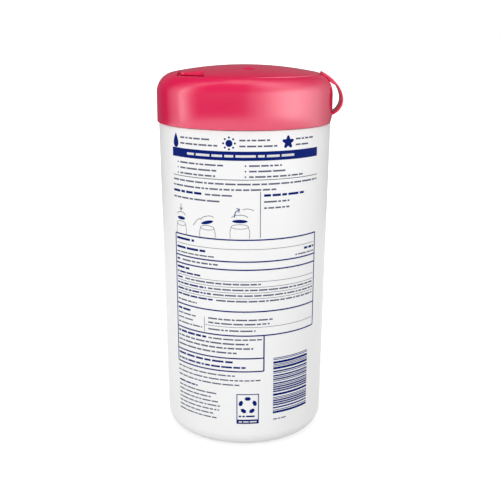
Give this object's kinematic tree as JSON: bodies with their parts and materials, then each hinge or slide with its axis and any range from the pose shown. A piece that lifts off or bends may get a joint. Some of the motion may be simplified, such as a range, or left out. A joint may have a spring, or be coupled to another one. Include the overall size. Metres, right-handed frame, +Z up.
{
  "type": "wet wipes canister",
  "caption": "Round tapered canister of wet wipes with a push-on cap, a flip lid on a looped strap hinge, a star-shaped dispensing hole and a coreless roll of wipes inside.",
  "frame": {"origin": "middle of the object's footprint box, on the plane it stands on; the canister's own axis is 2.13 mm towards -X because the strap hinge sticks out on the other side", "axes": "+Z up along the canister, +X towards the strap hinge, printed back facing -Y"},
  "size_m": [0.0842, 0.08, 0.1713],
  "materials": {
    "canister_plastic": "white moulded polyethylene, softly glossy, printed in dark blue and grey on the back",
    "cap_plastic": "glossy crimson pink moulded polypropylene",
    "wipe_fabric": "damp white non-woven cloth, matte",
    "navy_print": "dark blue ink printed on the canister",
    "grey_print": "grey ink printed on the canister"
  },
  "bodies": {
    "canister_body": {"canister": "canister_plastic", "wipes_roll": "wipe_fabric"},
    "cap_body": {"cap": "cap_plastic", "hinge_strap": "cap_plastic"},
    "lid_body": {"flip_lid": "cap_plastic"}
  },
  "joints": [
    {"name": "cap_lift", "type": "slide", "parent": "canister_body", "child": "cap_body", "axis": [0, 0, 1], "range_m": [0, 0.04]},
    {"name": "lid_hinge", "type": "hinge", "parent": "cap_body", "child": "lid_body", "pos_m": [0.0393, 0, 0.164], "axis": [0, 1, 0], "range_deg": [0, 150], "deforming": ["hinge_strap"]}
  ]
}
